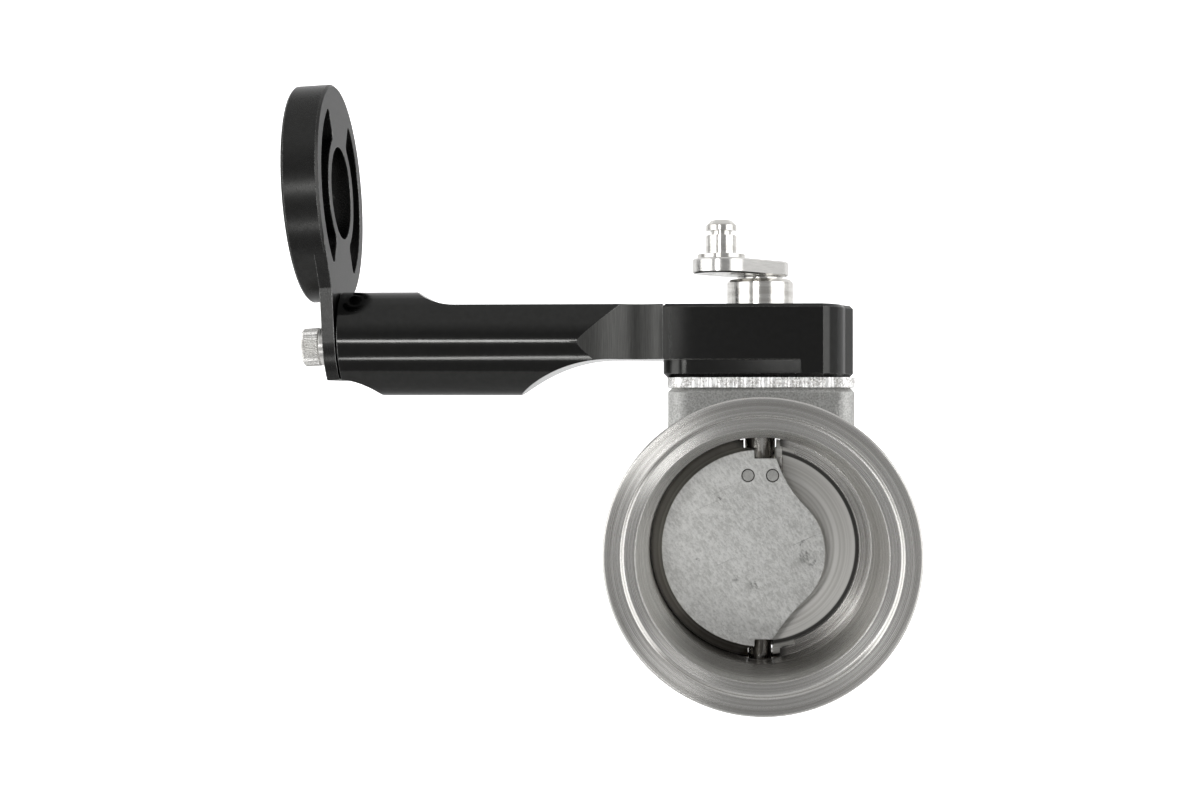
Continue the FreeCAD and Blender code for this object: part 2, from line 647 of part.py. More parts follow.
def actuator_bracket():
    """Plate and round arm, machined from one billet."""
    tip = ARM_REACH + ARM_RADIUS
    arm = rod(ARM_RADIUS, tip - PLATE_LEFT, Vector(-tip, ARM_Y, ARM_Z), Vector(1, 0, 0))
    beyond = block(-2 * ARM_RADIUS, 0, -2 * ARM_RADIUS, 2 * ARM_RADIUS, -2 * ARM_RADIUS, 2 * ARM_RADIUS)
    beyond.Placement = ring_frame()
    arm = arm.cut([beyond, arm_end_cutter()])
    seat = min(arm.Faces, key=lambda face: face.CenterOfMass.x)
    arm = arm.makeChamfer(ARM_END_CHAMFER, seat.Edges)
    arm = arm.cut([arm_flat_cutter(), arm_undercut_cutter(), neck_cutter()])
    bracket = plate_slab().fuse([plate_foot(), arm, rear_blend()]).removeSplitter()
    spigot_seat = PLATE_TOP - SPIGOT_LENGTH
    head_seat = PLATE_TOP - BOLT_RECESS - BOLT_HEAD_HEIGHT - WASHER_THICKNESS
    dowel_end = GASKET_TOP + DOWEL_DEPTH
    bracket = drilled(bracket, [SHAFT_FOOT], SPIGOT_RADIUS + PRESS_GAP, spigot_seat, PLATE_TOP)
    bracket = drilled(bracket, [SHAFT_FOOT], SEAL_RADIUS + PRESS_GAP, GASKET_TOP, PLATE_TOP)
    bracket = drilled(bracket, bolt_places(), BOLT_RADIUS + BOLT_HOLE_GAP, GASKET_TOP, PLATE_TOP)
    bracket = drilled(bracket, bolt_places(), BOLT_HEAD_RADIUS + COUNTERBORE_GAP, head_seat, PLATE_TOP)
    bracket = drilled(bracket, dowel_places(), DOWEL_RADIUS + PRESS_GAP, GASKET_TOP, dowel_end)
    depth = BOLT_GRIP + BOLT_CHAMFER
    thread = rod(BOLT_RADIUS + PRESS_GAP, depth, Vector(0, 0, -depth - TAB_THICKNESS))
    thread.Placement = ring_bolt_axis()
    return bracket.cut(thread)


def bracket_bolts():
    """Four cap screws from the bracket into the casting."""
    seat = PLATE_TOP - BOLT_RECESS - BOLT_HEAD_HEIGHT
    length = seat - (PAD_TOP - BOLT_GRIP) - BOLT_CHAMFER
    screws = []
    for place in bolt_places():
        screw = cap_screw(length)
        screw.translate(place + UP * seat)
        screws.append(screw)
    return Part.makeCompound(screws)


def bolt_washers():
    seat = PLATE_TOP - BOLT_RECESS - BOLT_HEAD_HEIGHT - WASHER_THICKNESS
    rings = []
    for place in bolt_places():
        ring = rod(BOLT_HEAD_RADIUS, WASHER_THICKNESS, place + UP * seat)
        rings.append(ring.cut(rod(BOLT_RADIUS + BOLT_HOLE_GAP, WASHER_THICKNESS, place + UP * seat)))
    return Part.makeCompound(rings)


def bracket_dowels():
    bottom = PAD_TOP - DOWEL_DEPTH
    length = GASKET_TOP + DOWEL_DEPTH - bottom - RIM_EDGE
    pins = []
    for place in dowel_places():
        pin = rod(DOWEL_RADIUS, length, place + UP * bottom)
        pins.append(pin.makeChamfer(RIM_EDGE, level_edges(pin, bottom + length)))
    return Part.makeCompound(pins)


def bearing_sleeve():
    """Flanged sleeve that guides the shaft above the bracket."""
    bottom = PLATE_TOP - SPIGOT_LENGTH
    inner = SHAFT_RADIUS + RUNNING_GAP
    points = [
        Vector(inner, AXIS_Y, bottom),
        Vector(SPIGOT_RADIUS, AXIS_Y, bottom),
        Vector(SPIGOT_RADIUS, AXIS_Y, PLATE_TOP),
        Vector(SLEEVE_RADIUS, AXIS_Y, PLATE_TOP),
        Vector(SLEEVE_RADIUS, AXIS_Y, SLEEVE_TOP - SLEEVE_CHAMFER),
        Vector(SLEEVE_RADIUS - SLEEVE_CHAMFER, AXIS_Y, SLEEVE_TOP),
        Vector(inner, AXIS_Y, SLEEVE_TOP),
    ]
    return turned(points, SHAFT_FOOT, UP)


def shaft_ring(outer, bottom, top):
    """Flat ring round the shaft."""
    ring = rod(outer, top - bottom, SHAFT_FOOT + UP * bottom)
    return ring.cut(rod(SHAFT_RADIUS + RUNNING_GAP, top - bottom, SHAFT_FOOT + UP * bottom))


def shaft_end(half_flat, bottom, top):
    """Double-flatted end of the shaft that carries the lever."""
    end = rod(SHAFT_RADIUS, top - bottom, SHAFT_FOOT + UP * bottom)
    side = 2 * SHAFT_RADIUS
    flats = block(-half_flat, half_flat, -side, side, bottom, top)
    flats.rotate(Vector(0, 0, 0), UP, CRANK_ANGLE_DEG)
    flats.translate(SHAFT_FOOT)
    return end.common(flats)


def drive_shaft():
    """Shaft from the lever down to the flat blade that is riveted into the disc."""
    stem = rod(SHAFT_RADIUS, LEVER_BOTTOM - NOTCH_TOP, SHAFT_FOOT + UP * NOTCH_TOP)
    tongue = shaft_end(SHAFT_FLAT, LEVER_BOTTOM, LEVER_TOP - LEVER_EDGE)
    wide = BLADE_WIDTH / 2
    deep = BLADE_THICKNESS / 2
    blade = block(-wide, wide, AXIS_Y - deep, AXIS_Y + deep, NOTCH_TOP - BLADE_LENGTH, NOTCH_TOP)
    shaft = stem.fuse([tongue, blade])
    return drilled_through(shaft)


def rivet_places():
    return [Vector(side * RIVET_PITCH / 2, 0, NOTCH_TOP - RIVET_DROP) for side in (-1, 1)]


def drilled_through(shape):
    """Shape with the two rivet holes, along the flow axis."""
    length = 2 * PLATEAU_HEIGHT
    for place in rivet_places():
        start = place + FLOW * (AXIS_Y - PLATEAU_HEIGHT)
        shape = shape.cut(rod(RIVET_RADIUS + PRESS_GAP, length, start, FLOW))
    return shape


def lower_pivot():
    """Shouldered pin pressed into the bottom of the disc, turning in the lower bush."""
    bottom = PLUG_TOP + END_FLOAT
    shoulder = PLUG_TOP + LOWER_BUSH_LENGTH
    top = -NOTCH_BOTTOM + PIVOT_ENGAGEMENT
    points = [
        Vector(0, AXIS_Y, bottom),
        Vector(SHAFT_RADIUS - RIM_EDGE, AXIS_Y, bottom),
        Vector(SHAFT_RADIUS, AXIS_Y, bottom + RIM_EDGE),
        Vector(SHAFT_RADIUS, AXIS_Y, shoulder),
        Vector(PIVOT_RADIUS, AXIS_Y, shoulder),
        Vector(PIVOT_RADIUS, AXIS_Y, top),
        Vector(0, AXIS_Y, top),
    ]
    return turned(points, SHAFT_FOOT, UP)


def disc_half():
    """Left half of the disc: sealing land behind, bevelled plateau in front."""
    rim = BORE_RADIUS - DISC_GAP
    face = LEDGE_OFFSET - SEAT_GAP
    dish = face - DISH_DEPTH
    pairs = [(0, dish), (DISH_RADIUS, dish), (rim - SEAL_LAND, face), (rim, face),
             (rim, -RIM_FRONT), (rim - BEVEL_RUN, -PLATEAU_HEIGHT), (0, -PLATEAU_HEIGHT)]
    points = [Vector(0, AXIS_Y + depth, radius) for radius, depth in pairs]
    half = turned(points, Vector(0, 0, 0), FLOW, 180)
    if half.CenterOfMass.x > 0:
        half.rotate(Vector(0, 0, 0), FLOW, 180)
    return half


def disc_hub():
    """Swollen middle of the plateau that reaches over the shaft, drawn in X and Z."""
    eighth = HUB_RADIUS * math.sqrt(0.5)
    high = Vector(eighth, eighth - HUB_DROP, 0)
    low = Vector(eighth, -eighth - HUB_DROP, 0)
    top = Vector(HUB_TOP_WEB, NOTCH_TOP, 0)
    bottom = Vector(HUB_BOTTOM_WEB, -NOTCH_BOTTOM, 0)
    inside = -DISC_GAP
    wire = upright(outline(
        bottom, tangent_arc(bottom, HUB_BOTTOM_HEADING_DEG, low),
        (Vector(HUB_RADIUS, -HUB_DROP, 0), high), tangent_arc(high, HUB_TOP_HEADING_DEG, top),
        Vector(inside, NOTCH_TOP, 0), Vector(inside, bottom.y, 0)))
    wire.translate(FLOW * (AXIS_Y - PLATEAU_HEIGHT))
    return prism(wire, FLOW * PLATEAU_HEIGHT)


def pin_notch(pin_radius, floor, reach, open_from):
    """Room round a pin at the disc's edge, half covered by a lip in front and one behind."""
    low, high = sorted((floor, reach))
    open_low, open_high = sorted((open_from, reach))
    near = AXIS_Y - 2 * PLATEAU_HEIGHT
    far = AXIS_Y + 2 * PLATEAU_HEIGHT
    clear = pin_radius + NOTCH_GAP
    pocket = rod(clear, high - low, SHAFT_FOOT + UP * low)
    window = block(-NOTCH_LIP, clear, near, AXIS_Y, low, high)
    return pocket.fuse([window, half_turn(window), block(-clear, clear, near, far, open_low, open_high)])


def valve_disc():
    """Cast swing disc: two stepped halves, each the other's half turn about the shaft."""
    half = disc_half()
    hub = disc_hub()
    disc = half.fuse([half_turn(half), hub, half_turn(hub)])
    reach = BORE_RADIUS
    top_notch = pin_notch(SHAFT_RADIUS, NOTCH_TOP, reach, NOTCH_OPEN)
    bottom_notch = pin_notch(PIVOT_RADIUS, -NOTCH_BOTTOM, -reach, -NOTCH_OPEN)
    wide = BLADE_WIDTH / 2 + RUNNING_GAP
    deep = BLADE_THICKNESS / 2 + RUNNING_GAP
    slot_floor = NOTCH_TOP - BLADE_LENGTH - RUNNING_GAP
    slot = block(-wide, wide, AXIS_Y - deep, AXIS_Y + deep, slot_floor, reach)
    socket_depth = PIVOT_ENGAGEMENT + PRESS_GAP
    socket = rod(PIVOT_RADIUS + PRESS_GAP, socket_depth, SHAFT_FOOT - UP * NOTCH_BOTTOM)
    disc = disc.cut([top_notch, bottom_notch, slot, socket])
    return drilled_through(disc).removeSplitter()


def disc_rivets():
    """Two flush rivets through the disc and the blade of the shaft."""
    rivets = []
    for place in rivet_places():
        start = place + FLOW * (AXIS_Y - PLATEAU_HEIGHT)
        rivets.append(rod(RIVET_RADIUS, 2 * PLATEAU_HEIGHT, start, FLOW))
    return Part.makeCompound(rivets)


def crank_lever():
    """Flat lever with two equal round ends, on the flats of the shaft."""
    radius = LEVER_END_RADIUS
    length = CRANK_LENGTH
    wire = outline(
        Vector(0, -radius, 0), Vector(length, -radius, 0),
        (Vector(length + radius, 0, 0), Vector(length, radius, 0)),
        Vector(0, radius, 0), (Vector(-radius, 0, 0), Vector(0, -radius, 0)))
    lever = prism(wire, UP * LEVER_THICKNESS)
    lever = lever.makeChamfer(LEVER_EDGE, level_edges(lever, 0) + level_edges(lever, LEVER_THICKNESS))
    lever = lever.cut(rod(PIN_STEM_RADIUS + PRESS_GAP, LEVER_THICKNESS, Vector(length, 0, 0)))
    lever.rotate(Vector(0, 0, 0), UP, CRANK_ANGLE_DEG)
    lever.translate(SHAFT_FOOT + UP * LEVER_BOTTOM)
    side = SHAFT_FLAT + PRESS_GAP
    hole = rod(SHAFT_RADIUS + PRESS_GAP, LEVER_THICKNESS, SHAFT_FOOT + UP * LEVER_BOTTOM)
    flats = block(-side, side, -2 * SHAFT_RADIUS, 2 * SHAFT_RADIUS, 0, LEVER_THICKNESS)
    flats.rotate(Vector(0, 0, 0), UP, CRANK_ANGLE_DEG)
    flats.translate(SHAFT_FOOT + UP * LEVER_BOTTOM)
    return lever.cut(hole.common(flats))


def crank_pin():
    """Grooved pin that the actuator's rod end hooks on, with its collar and pressed stem."""
    place = Vector(CRANK_X, CRANK_Y, 0)
    collar_top = LEVER_TOP + COLLAR_HEIGHT
    groove_bottom = collar_top + PIN_PLAIN
    groove_top = groove_bottom + GROOVE_WIDTH
    top = groove_top + PIN_HEAD
    pairs = [
        (0, LEVER_BOTTOM), (PIN_STEM_RADIUS, LEVER_BOTTOM), (PIN_STEM_RADIUS, LEVER_TOP),
        (COLLAR_RADIUS, LEVER_TOP), (COLLAR_RADIUS, collar_top), (PIN_RADIUS, collar_top),
        (PIN_RADIUS, groove_bottom), (GROOVE_RADIUS, groove_bottom), (GROOVE_RADIUS, groove_top),
        (PIN_RADIUS, groove_top), (PIN_RADIUS, top - PIN_HEAD_CHAMFER),
        (PIN_RADIUS - PIN_HEAD_CHAMFER, top), (0, top),
    ]
    points = [place + Vector(radius, 0, height) for radius, height in pairs]
    return turned(points, place, UP)


def ring_window(clock_deg):
    """Kidney window of the ring with rounded corners, in the ring's own plane."""
    inner = GUIDE_RADIUS + GUIDE_WALL
    outer = RING_RADIUS - RIM_WALL
    base = Vector(-RING_THICKNESS, 0, 0)
    axis = Vector(1, 0, 0)
    window = rod(outer, RING_THICKNESS, base, axis).cut(rod(inner, RING_THICKNESS, base, axis))
    spread = math.radians(WINDOW_HALF_DEG)
    far = 2 * outer
    wedge = outline(
        Vector(-RING_THICKNESS, 0, 0),
        Vector(-RING_THICKNESS, far * math.cos(spread), -far * math.sin(spread)),
        Vector(-RING_THICKNESS, far, 0),
        Vector(-RING_THICKNESS, far * math.cos(spread), far * math.sin(spread)))
    window = window.common(prism(wedge, axis * RING_THICKNESS))
    sides = [edge for edge in window.Edges if edge.BoundBox.XLength > RING_THICKNESS - SAME_PLACE]
    window = window.makeFillet(WINDOW_CORNER, sides)
    window.rotate(Vector(0, 0, 0), axis, clock_deg)
    return window


def tab_outline():
    """Outline of the tab: round below the arm and cut flat, flared up to the ring in front."""
    corner = Vector(0, -TAB_RADIUS, TAB_SHOULDER)
    spoke = corner - Vector(0, RING_SIDE, RING_RISE)
    face_radius = RING_RADIUS - RING_CHAMFER
    turn = math.atan2(spoke.z, spoke.y) - math.acos(face_radius / spoke.Length)
    touch = Vector(0, RING_SIDE + face_radius * math.cos(turn), RING_RISE + face_radius * math.sin(turn))
    fall = math.asin(TAB_DROP / TAB_RADIUS)
    low = []
    for angle in (fall / 2, fall, math.pi - fall, math.pi - fall / 2):
        low.append(Vector(0, math.cos(angle), -math.sin(angle)) * TAB_RADIUS)
    return outline(
        touch, corner, Vector(0, -TAB_RADIUS, 0), (low[3], low[2]),
        low[1], (low[0], Vector(0, TAB_RADIUS, 0)), Vector(0, TAB_RADIUS, RING_RISE))


def actuator_ring():
    """Mounting ring for the actuator with its bolt-on tab, standing tilted on the arm end."""
    axis = Vector(1, 0, 0)
    centre = Vector(0, RING_SIDE, RING_RISE)
    blank = rod(RING_RADIUS, RING_THICKNESS, Vector(-RING_THICKNESS, 0, 0), axis)
    rims = [edge for edge in blank.Edges if edge.BoundBox.XLength < SAME_PLACE]
    blank = blank.makeChamfer(RING_CHAMFER, rims)
    blank = blank.cut(rod(GUIDE_RADIUS, RING_THICKNESS, Vector(-RING_THICKNESS, 0, 0), axis))
    for clock in (-WINDOW_CLOCK_DEG, 180 - WINDOW_CLOCK_DEG):
        blank = blank.cut(ring_window(clock))
    blank.translate(centre)
    tab = prism(tab_outline(), axis * -TAB_THICKNESS)
    tab = tab.cut(rod(RING_RADIUS - RIM_WALL / 2, TAB_THICKNESS, centre - axis * TAB_THICKNESS, axis))
    ring = blank.fuse(tab).removeSplitter()
    ring = ring.cut(rod(BOLT_RADIUS + BOLT_HOLE_GAP, TAB_THICKNESS, Vector(-TAB_THICKNESS, 0, 0), axis))
    ring.Placement = ring_frame()
    return ring


def tab_washer():
    """Flat washer between the tab and the head of its screw."""
    base = Vector(0, 0, 0)
    washer = rod(TAB_WASHER_RADIUS, TAB_WASHER_THICKNESS, base)
    washer = washer.cut(rod(BOLT_RADIUS + BOLT_HOLE_GAP, TAB_WASHER_THICKNESS, base))
    washer.Placement = ring_bolt_axis()
    return washer


def ring_bolt():
    """Cap screw that clamps the ring's tab to the arm end."""
    screw = cap_screw(TAB_WASHER_THICKNESS + TAB_THICKNESS + BOLT_GRIP)
    screw.Placement = ring_bolt_axis(TAB_WASHER_THICKNESS)
    return screw


def build():
    """Every sub-part under the name of its node."""
    return {
        "valve_body": valve_body(),
        "upper_bush": bush(BORE_RADIUS + RUNNING_GAP, PAD_TOP),
        "lower_bush": bush(PLUG_TOP, PLUG_TOP + LOWER_BUSH_LENGTH),
        "lower_plug": lower_plug(),
        "heat_gasket": heat_gasket(),
        "actuator_bracket": actuator_bracket(),
        "bracket_bolts": bracket_bolts(),
        "bolt_washers": bolt_washers(),
        "bracket_dowels": bracket_dowels(),
        "bearing_sleeve": bearing_sleeve(),
        "shaft_seal": shaft_ring(SEAL_RADIUS, GASKET_TOP, GASKET_TOP + SEAL_THICKNESS),
        "thrust_washer": shaft_ring(THRUST_RADIUS, SLEEVE_TOP, THRUST_TOP),
        "actuator_ring": actuator_ring(),
        "tab_washer": tab_washer(),
        "ring_bolt": ring_bolt(),
        "drive_shaft": drive_shaft(),
        "lower_pivot": lower_pivot(),
        "valve_disc": valve_disc(),
        "disc_rivets": disc_rivets(),
        "crank_lever": crank_lever(),
        "crank_pin": crank_pin(),
    }


for node, shape in build().items():
    shape.exportStep("parts/%s.step" % node)
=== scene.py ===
import bmesh
import bpy
import math
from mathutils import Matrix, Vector


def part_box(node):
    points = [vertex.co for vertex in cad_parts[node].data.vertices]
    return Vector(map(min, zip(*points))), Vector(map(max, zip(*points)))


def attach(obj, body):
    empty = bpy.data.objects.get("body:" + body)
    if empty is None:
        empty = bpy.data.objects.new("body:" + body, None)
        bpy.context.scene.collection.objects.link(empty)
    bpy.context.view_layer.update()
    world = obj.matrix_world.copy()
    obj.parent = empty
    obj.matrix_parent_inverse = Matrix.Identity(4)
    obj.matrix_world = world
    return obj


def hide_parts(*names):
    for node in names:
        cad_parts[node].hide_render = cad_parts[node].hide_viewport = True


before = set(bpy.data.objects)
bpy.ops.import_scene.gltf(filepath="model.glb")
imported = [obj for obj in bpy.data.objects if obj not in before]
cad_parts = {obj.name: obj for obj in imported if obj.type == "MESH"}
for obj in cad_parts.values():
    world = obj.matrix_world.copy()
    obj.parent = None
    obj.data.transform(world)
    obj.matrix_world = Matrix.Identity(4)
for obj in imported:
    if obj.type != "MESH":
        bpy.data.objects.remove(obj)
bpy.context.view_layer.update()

# Valve body: one stainless investment casting, blasted all over, then turned on its flanges,
# registers, bore and ledges. Its finish goes by where a point lies: turned near the bore and
# the flange faces, blasted on the pad and the barrel.
MIDDLE = (0.35, 0.65)
WIDE = (0.3, 0.7)


def add(tree, kind, inputs=None, **settings):
    """A node of a material, its inputs set to plain values or joined to other nodes."""
    node = tree.nodes.new("ShaderNode" + kind)
    for name, value in settings.items():
        setattr(node, name, value)
    for name, value in (inputs or {}).items():
        if isinstance(value, bpy.types.NodeSocket):
            tree.links.new(value, node.inputs[name])
        else:
            node.inputs[name].default_value = value
    return node


def calc(tree, operation, *values):
    """The result of one sum on values or sockets."""
    return add(tree, "Math", dict(enumerate(values)), operation=operation).outputs[0]


def times(tree, first, *others):
    """The product of two or more values or sockets."""
    for other in others:
        first = calc(tree, "MULTIPLY", first, other)
    return first


def plus(tree, first, second):
    """The sum of two values or sockets."""
    return calc(tree, "ADD", first, second)


def between(tree, share, first, second):
    """A value part way from the first to the second."""
    rest = calc(tree, "SUBTRACT", 1.0, share)
    return plus(tree, times(tree, share, second), times(tree, rest, first))


def tint(tree, share, first, second):
    """A colour part way from the first to the second."""
    return add(tree, "Mix", {0: share, 6: first, 7: second}, data_type="RGBA").outputs[2]


def ramp(tree, value, low, high, start=0.0, end=1.0):
    """A value carried smoothly from start at low to end at high."""
    inputs = {"Value": value, "From Min": low, "From Max": high, "To Min": start, "To Max": end}
    return add(tree, "MapRange", inputs, interpolation_type="SMOOTHSTEP").outputs[0]


def split(tree, vector):
    """The three measures of a vector."""
    return add(tree, "SeparateXYZ", {0: vector}).outputs


def join(tree, *values):
    """A vector made from two or three measures."""
    return add(tree, "CombineXYZ", dict(enumerate(values))).outputs[0]


def distance(tree, first, second):
    """How far a point lies from an axis, by its two measures across it."""
    across = join(tree, first, second)
    return add(tree, "VectorMath", {0: across}, operation="LENGTH").outputs["Value"]


def noise(tree, vector, scale, detail=2.0, roughness=0.5):
    """A soft random value over the surface."""
    inputs = {"Vector": vector, "Scale": scale, "Detail": detail, "Roughness": roughness}
    return add(tree, "TexNoise", inputs).outputs["Fac"]


def effect(name, inputs, outputs):
    """An empty shader effect with named inputs and outputs, and the nodes at its two ends."""
    group = bpy.data.node_groups.new(name, "ShaderNodeTree")
    for label, kind, value in inputs:
        socket = group.interface.new_socket(
            label, in_out="INPUT", socket_type="NodeSocket" + kind)
        if value is not None:
            socket.default_value = value
    for label, kind in outputs:
        group.interface.new_socket(label, in_out="OUTPUT", socket_type="NodeSocket" + kind)
    given = group.nodes.new("NodeGroupInput").outputs
    return group, given, group.nodes.new("NodeGroupOutput").inputs


def use(tree, group, **inputs):
    """Places an effect in a material and gives its outputs."""
    return add(tree, "Group", inputs, node_tree=group).outputs


def build_edge_wear():
    """Rounds the shading over edges, and finds them for wear."""
    group, given, result = effect(
        "edge wear", [("Radius", "Float", 0.0003), ("Breakup", "Float", 900.0)],
        [("Normal", "Vector"), ("Edge", "Float")])
    least_worn, nearly_flat, sharply_bent = 0.35, 0.985, 0.80
    rounded = add(group, "Bevel", {"Radius": given["Radius"]}, samples=6).outputs[0]
    flat = add(group, "NewGeometry").outputs["Normal"]
    bend = add(group, "VectorMath", {0: rounded, 1: flat}, operation="DOT_PRODUCT")
    edge = ramp(group, bend.outputs["Value"], nearly_flat, sharply_bent)
    place = add(group, "TexCoord").outputs["Object"]
    patchy = ramp(group, noise(group, place, given["Breakup"]), *MIDDLE, start=least_worn)
    group.links.new(rounded, result["Normal"])
    group.links.new(times(group, edge, patchy), result["Edge"])
    return group


def build_turning_marks():
    """Fine rings that a lathe tool leaves round an axis through the given vector's Z."""
    group, given, result = effect(
        "turning marks",
        [("Vector", "Vector", None), ("Pitch", "Float", 0.0003), ("Drift", "Float", 3.0)],
        [("Height", "Float"), ("Tone", "Float")])
    tone_scale = 0.23
    part = split(group, given["Vector"])
    across = calc(group, "DIVIDE", distance(group, part[0], part[1]), given["Pitch"])
    along = calc(group, "DIVIDE", part[2], given["Pitch"])
    angle = calc(group, "ARCTAN2", part[1], part[0])
    drift = times(group, calc(group, "SINE", angle), given["Drift"])
    rings = join(group, across, along, drift)
    group.links.new(noise(group, rings, 1.0, detail=3.0, roughness=0.6), result["Height"])
    group.links.new(noise(group, rings, tone_scale), result["Tone"])
    return group


def build_grain():
    """Fine dimples of a blasted or cast surface, with a slow change of tone."""
    group, given, result = effect(
        "blasted grain", [("Vector", "Vector", None), ("Size", "Float", 0.0005)],
        [("Height", "Float"), ("Tone", "Float")])
    dimple_share, slow_scale = 0.5, 0.12
    scale = calc(group, "DIVIDE", 1.0, given["Size"])
    fine = noise(group, given["Vector"], scale, detail=3.0, roughness=0.65)
    dimples = add(group, "TexVoronoi", {"Vector": given["Vector"], "Scale": scale})
    height = plus(group, fine, times(group, dimples.outputs["Distance"], dimple_share))
    group.links.new(height, result["Height"])
    slow = noise(group, given["Vector"], calc(group, "DIVIDE", slow_scale, given["Size"]))
    group.links.new(times(group, plus(group, fine, slow), 0.5), result["Tone"])
    return group


edge_wear = build_edge_wear()
turning_marks = build_turning_marks()
blasted_grain = build_grain()


def start_finish(name):
    """A new material, its node tree, and the place of a point on the object."""
    material = bpy.data.materials.new(name)
    material.use_nodes = True
    tree = material.node_tree
    tree.nodes.clear()
    return material, tree, add(tree, "TexCoord").outputs["Object"]


def finish_with(tree, inputs, anisotropy=0.0, axis=None):
    """Closes a material with its surface shader, its gloss drawn out round an axis if given."""
    quarter_turn = 0.25
    shader = add(tree, "BsdfPrincipled", inputs)
    if axis:
        shader.inputs["Anisotropic"].default_value = anisotropy
        shader.inputs["Anisotropic Rotation"].default_value = quarter_turn
        tangent = add(tree, "Tangent", direction_type="RADIAL", axis=axis)
        tree.links.new(tangent.outputs[0], shader.inputs["Tangent"])
    output = tree.nodes.new("ShaderNodeOutputMaterial")
    tree.links.new(shader.outputs[0], output.inputs["Surface"])
    return shader


def turn_about(tree, place, axis, centre=(0.0, 0.0, 0.0)):
    """The place of a point with the named axis of turning laid along Z."""
    moved = add(tree, "VectorMath", {0: place, 1: centre}, operation="SUBTRACT").outputs[0]
    part = split(tree, moved)
    order = {"Y": (0, 2, 1), "Z": (0, 1, 2)}[axis]
    return join(tree, *(part[index] for index in order))


def bump(tree, height, depth, normal):
    """A normal raised by a height, on top of another normal."""
    inputs = {"Height": height, "Distance": depth, "Strength": 1.0, "Normal": normal}
    return add(tree, "Bump", inputs).outputs[0]


def worn(tree, wear, share, colour, bare):
    """The colour, laid bare by a share where the edges are worn."""
    return tint(tree, times(tree, wear["Edge"], share), colour, bare)


def dress(node, material):
    """Gives a node of the model its finish."""
    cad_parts[node].material_slots[0].material = material


def valve_body_finish():
    turned_light, turned_deep = (0.62, 0.61, 0.59, 1), (0.43, 0.42, 0.40, 1)
    blasted_light, blasted_deep = (0.70, 0.70, 0.685, 1), (0.46, 0.46, 0.445, 1)
    bare, lower_bore_tone, soot_and_shade_colour = (0.85, 0.84, 0.82, 1), (0.13, 0.12, 0.11, 1), (0.03, 0.028, 0.025, 1)
    worn_share, lower_bore_share, soot_and_shade_share = 0.6, 0.8, 0.9
    ring_depth, grain_depth = 0.000006, 0.00009
    blasted_rough, more_by_soot = 0.60, 0.4
    low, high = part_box("valve_body")
    middle = (low.y + high.y) / 2
    bore_zone, face_zone = (0.0318, 0.0316), (middle - 0.0075, middle - 0.0070)
    wall_zone, throat_zone = (0.0314, 0.0300), (0.032, 0.026)
    low_zone, unevenness = (-0.010, -0.026), 0.006
    shaft_zone = (0.0085, 0.0060)
    material, tree, place = start_finish("machined_casting")
    wear = use(tree, edge_wear, Radius=0.00035)
    marks = use(tree, turning_marks, Vector=turn_about(tree, place, "Y"), Pitch=0.00026, Drift=0.7)
    grain = use(tree, blasted_grain, Vector=place, Size=0.00045)

    part = split(tree, place)
    radius = distance(tree, part[0], part[2])
    along = calc(tree, "SUBTRACT", part[1], middle)
    from_middle = calc(tree, "ABSOLUTE", along)
    near_bore = ramp(tree, radius, *bore_zone)
    turned = calc(tree, "MAXIMUM", near_bore, ramp(tree, from_middle, *face_zone))
    inside = times(tree, ramp(tree, radius, *wall_zone), ramp(tree, from_middle, *throat_zone))
    low_down = ramp(tree, plus(tree, part[2], times(tree, grain["Tone"], unevenness)), *low_zone)
    # Soot and painted shade round the shaft's holes: matt, less metallic and nearly black there.
    soot_and_shade = times(tree, ramp(tree, distance(tree, part[0], along), *shaft_zone), near_bore)

    turned_colour = tint(tree, ramp(tree, marks["Tone"], *MIDDLE), turned_deep, turned_light)
    # Darker towards the bottom inside the bore.
    turned_colour = tint(tree, times(tree, inside, low_down, lower_bore_share), turned_colour, lower_bore_tone)
    speckle = ramp(tree, grain["Height"], 0.45, 1.05)
    colour = tint(tree, turned, tint(tree, speckle, blasted_deep, blasted_light), turned_colour)
    colour = worn(tree, wear, worn_share, colour, bare)
    # Painted shade with soot: the shaft's holes are coloured nearly black.
    colour = tint(tree, times(tree, soot_and_shade, soot_and_shade_share), colour, soot_and_shade_colour)
    turned_rough = ramp(tree, marks["Height"], *WIDE, start=0.22, end=0.31)
    rough = between(tree, turned, blasted_rough, turned_rough)
    rough = plus(tree, rough, times(tree, soot_and_shade, more_by_soot))
    height = between(tree, turned, times(tree, grain["Height"], grain_depth),
                     times(tree, marks["Height"], ring_depth))
    finish_with(tree, {
        "Base Color": colour, "Metallic": calc(tree, "SUBTRACT", 1.0, soot_and_shade),
        "Roughness": rough, "Normal": bump(tree, height, 1.0, wear["Normal"])},
        anisotropy=0.88, axis="Y")
    return material


dress("valve_body", valve_body_finish())

# Shaft bushes: sintered bronze, pressed into the casting above and below the bore. They are dark
# with soot and painted shade, and only their ends show round the shaft.


def bush_finish():
    clean, soot_and_shade = (0.42, 0.27, 0.13, 1), (0.05, 0.04, 0.03, 1)
    most_clean, pore_depth = 0.35, 0.00002
    material, tree, place = start_finish("sintered_bronze")
    wear = use(tree, edge_wear, Radius=0.0002)
    grain = use(tree, blasted_grain, Vector=place, Size=0.00035)
    # Painted shade with soot: mostly nearly black, clean bronze only in patches.
    rubbed = ramp(tree, grain["Tone"], 0.40, 0.65, end=most_clean)
    finish_with(tree, {
        "Base Color": tint(tree, rubbed, soot_and_shade, clean), "Metallic": 1.0,
        "Roughness": ramp(tree, grain["Height"], 0.3, 0.9, start=0.50, end=0.70),
        "Normal": bump(tree, grain["Height"], pore_depth, wear["Normal"])})
    return material


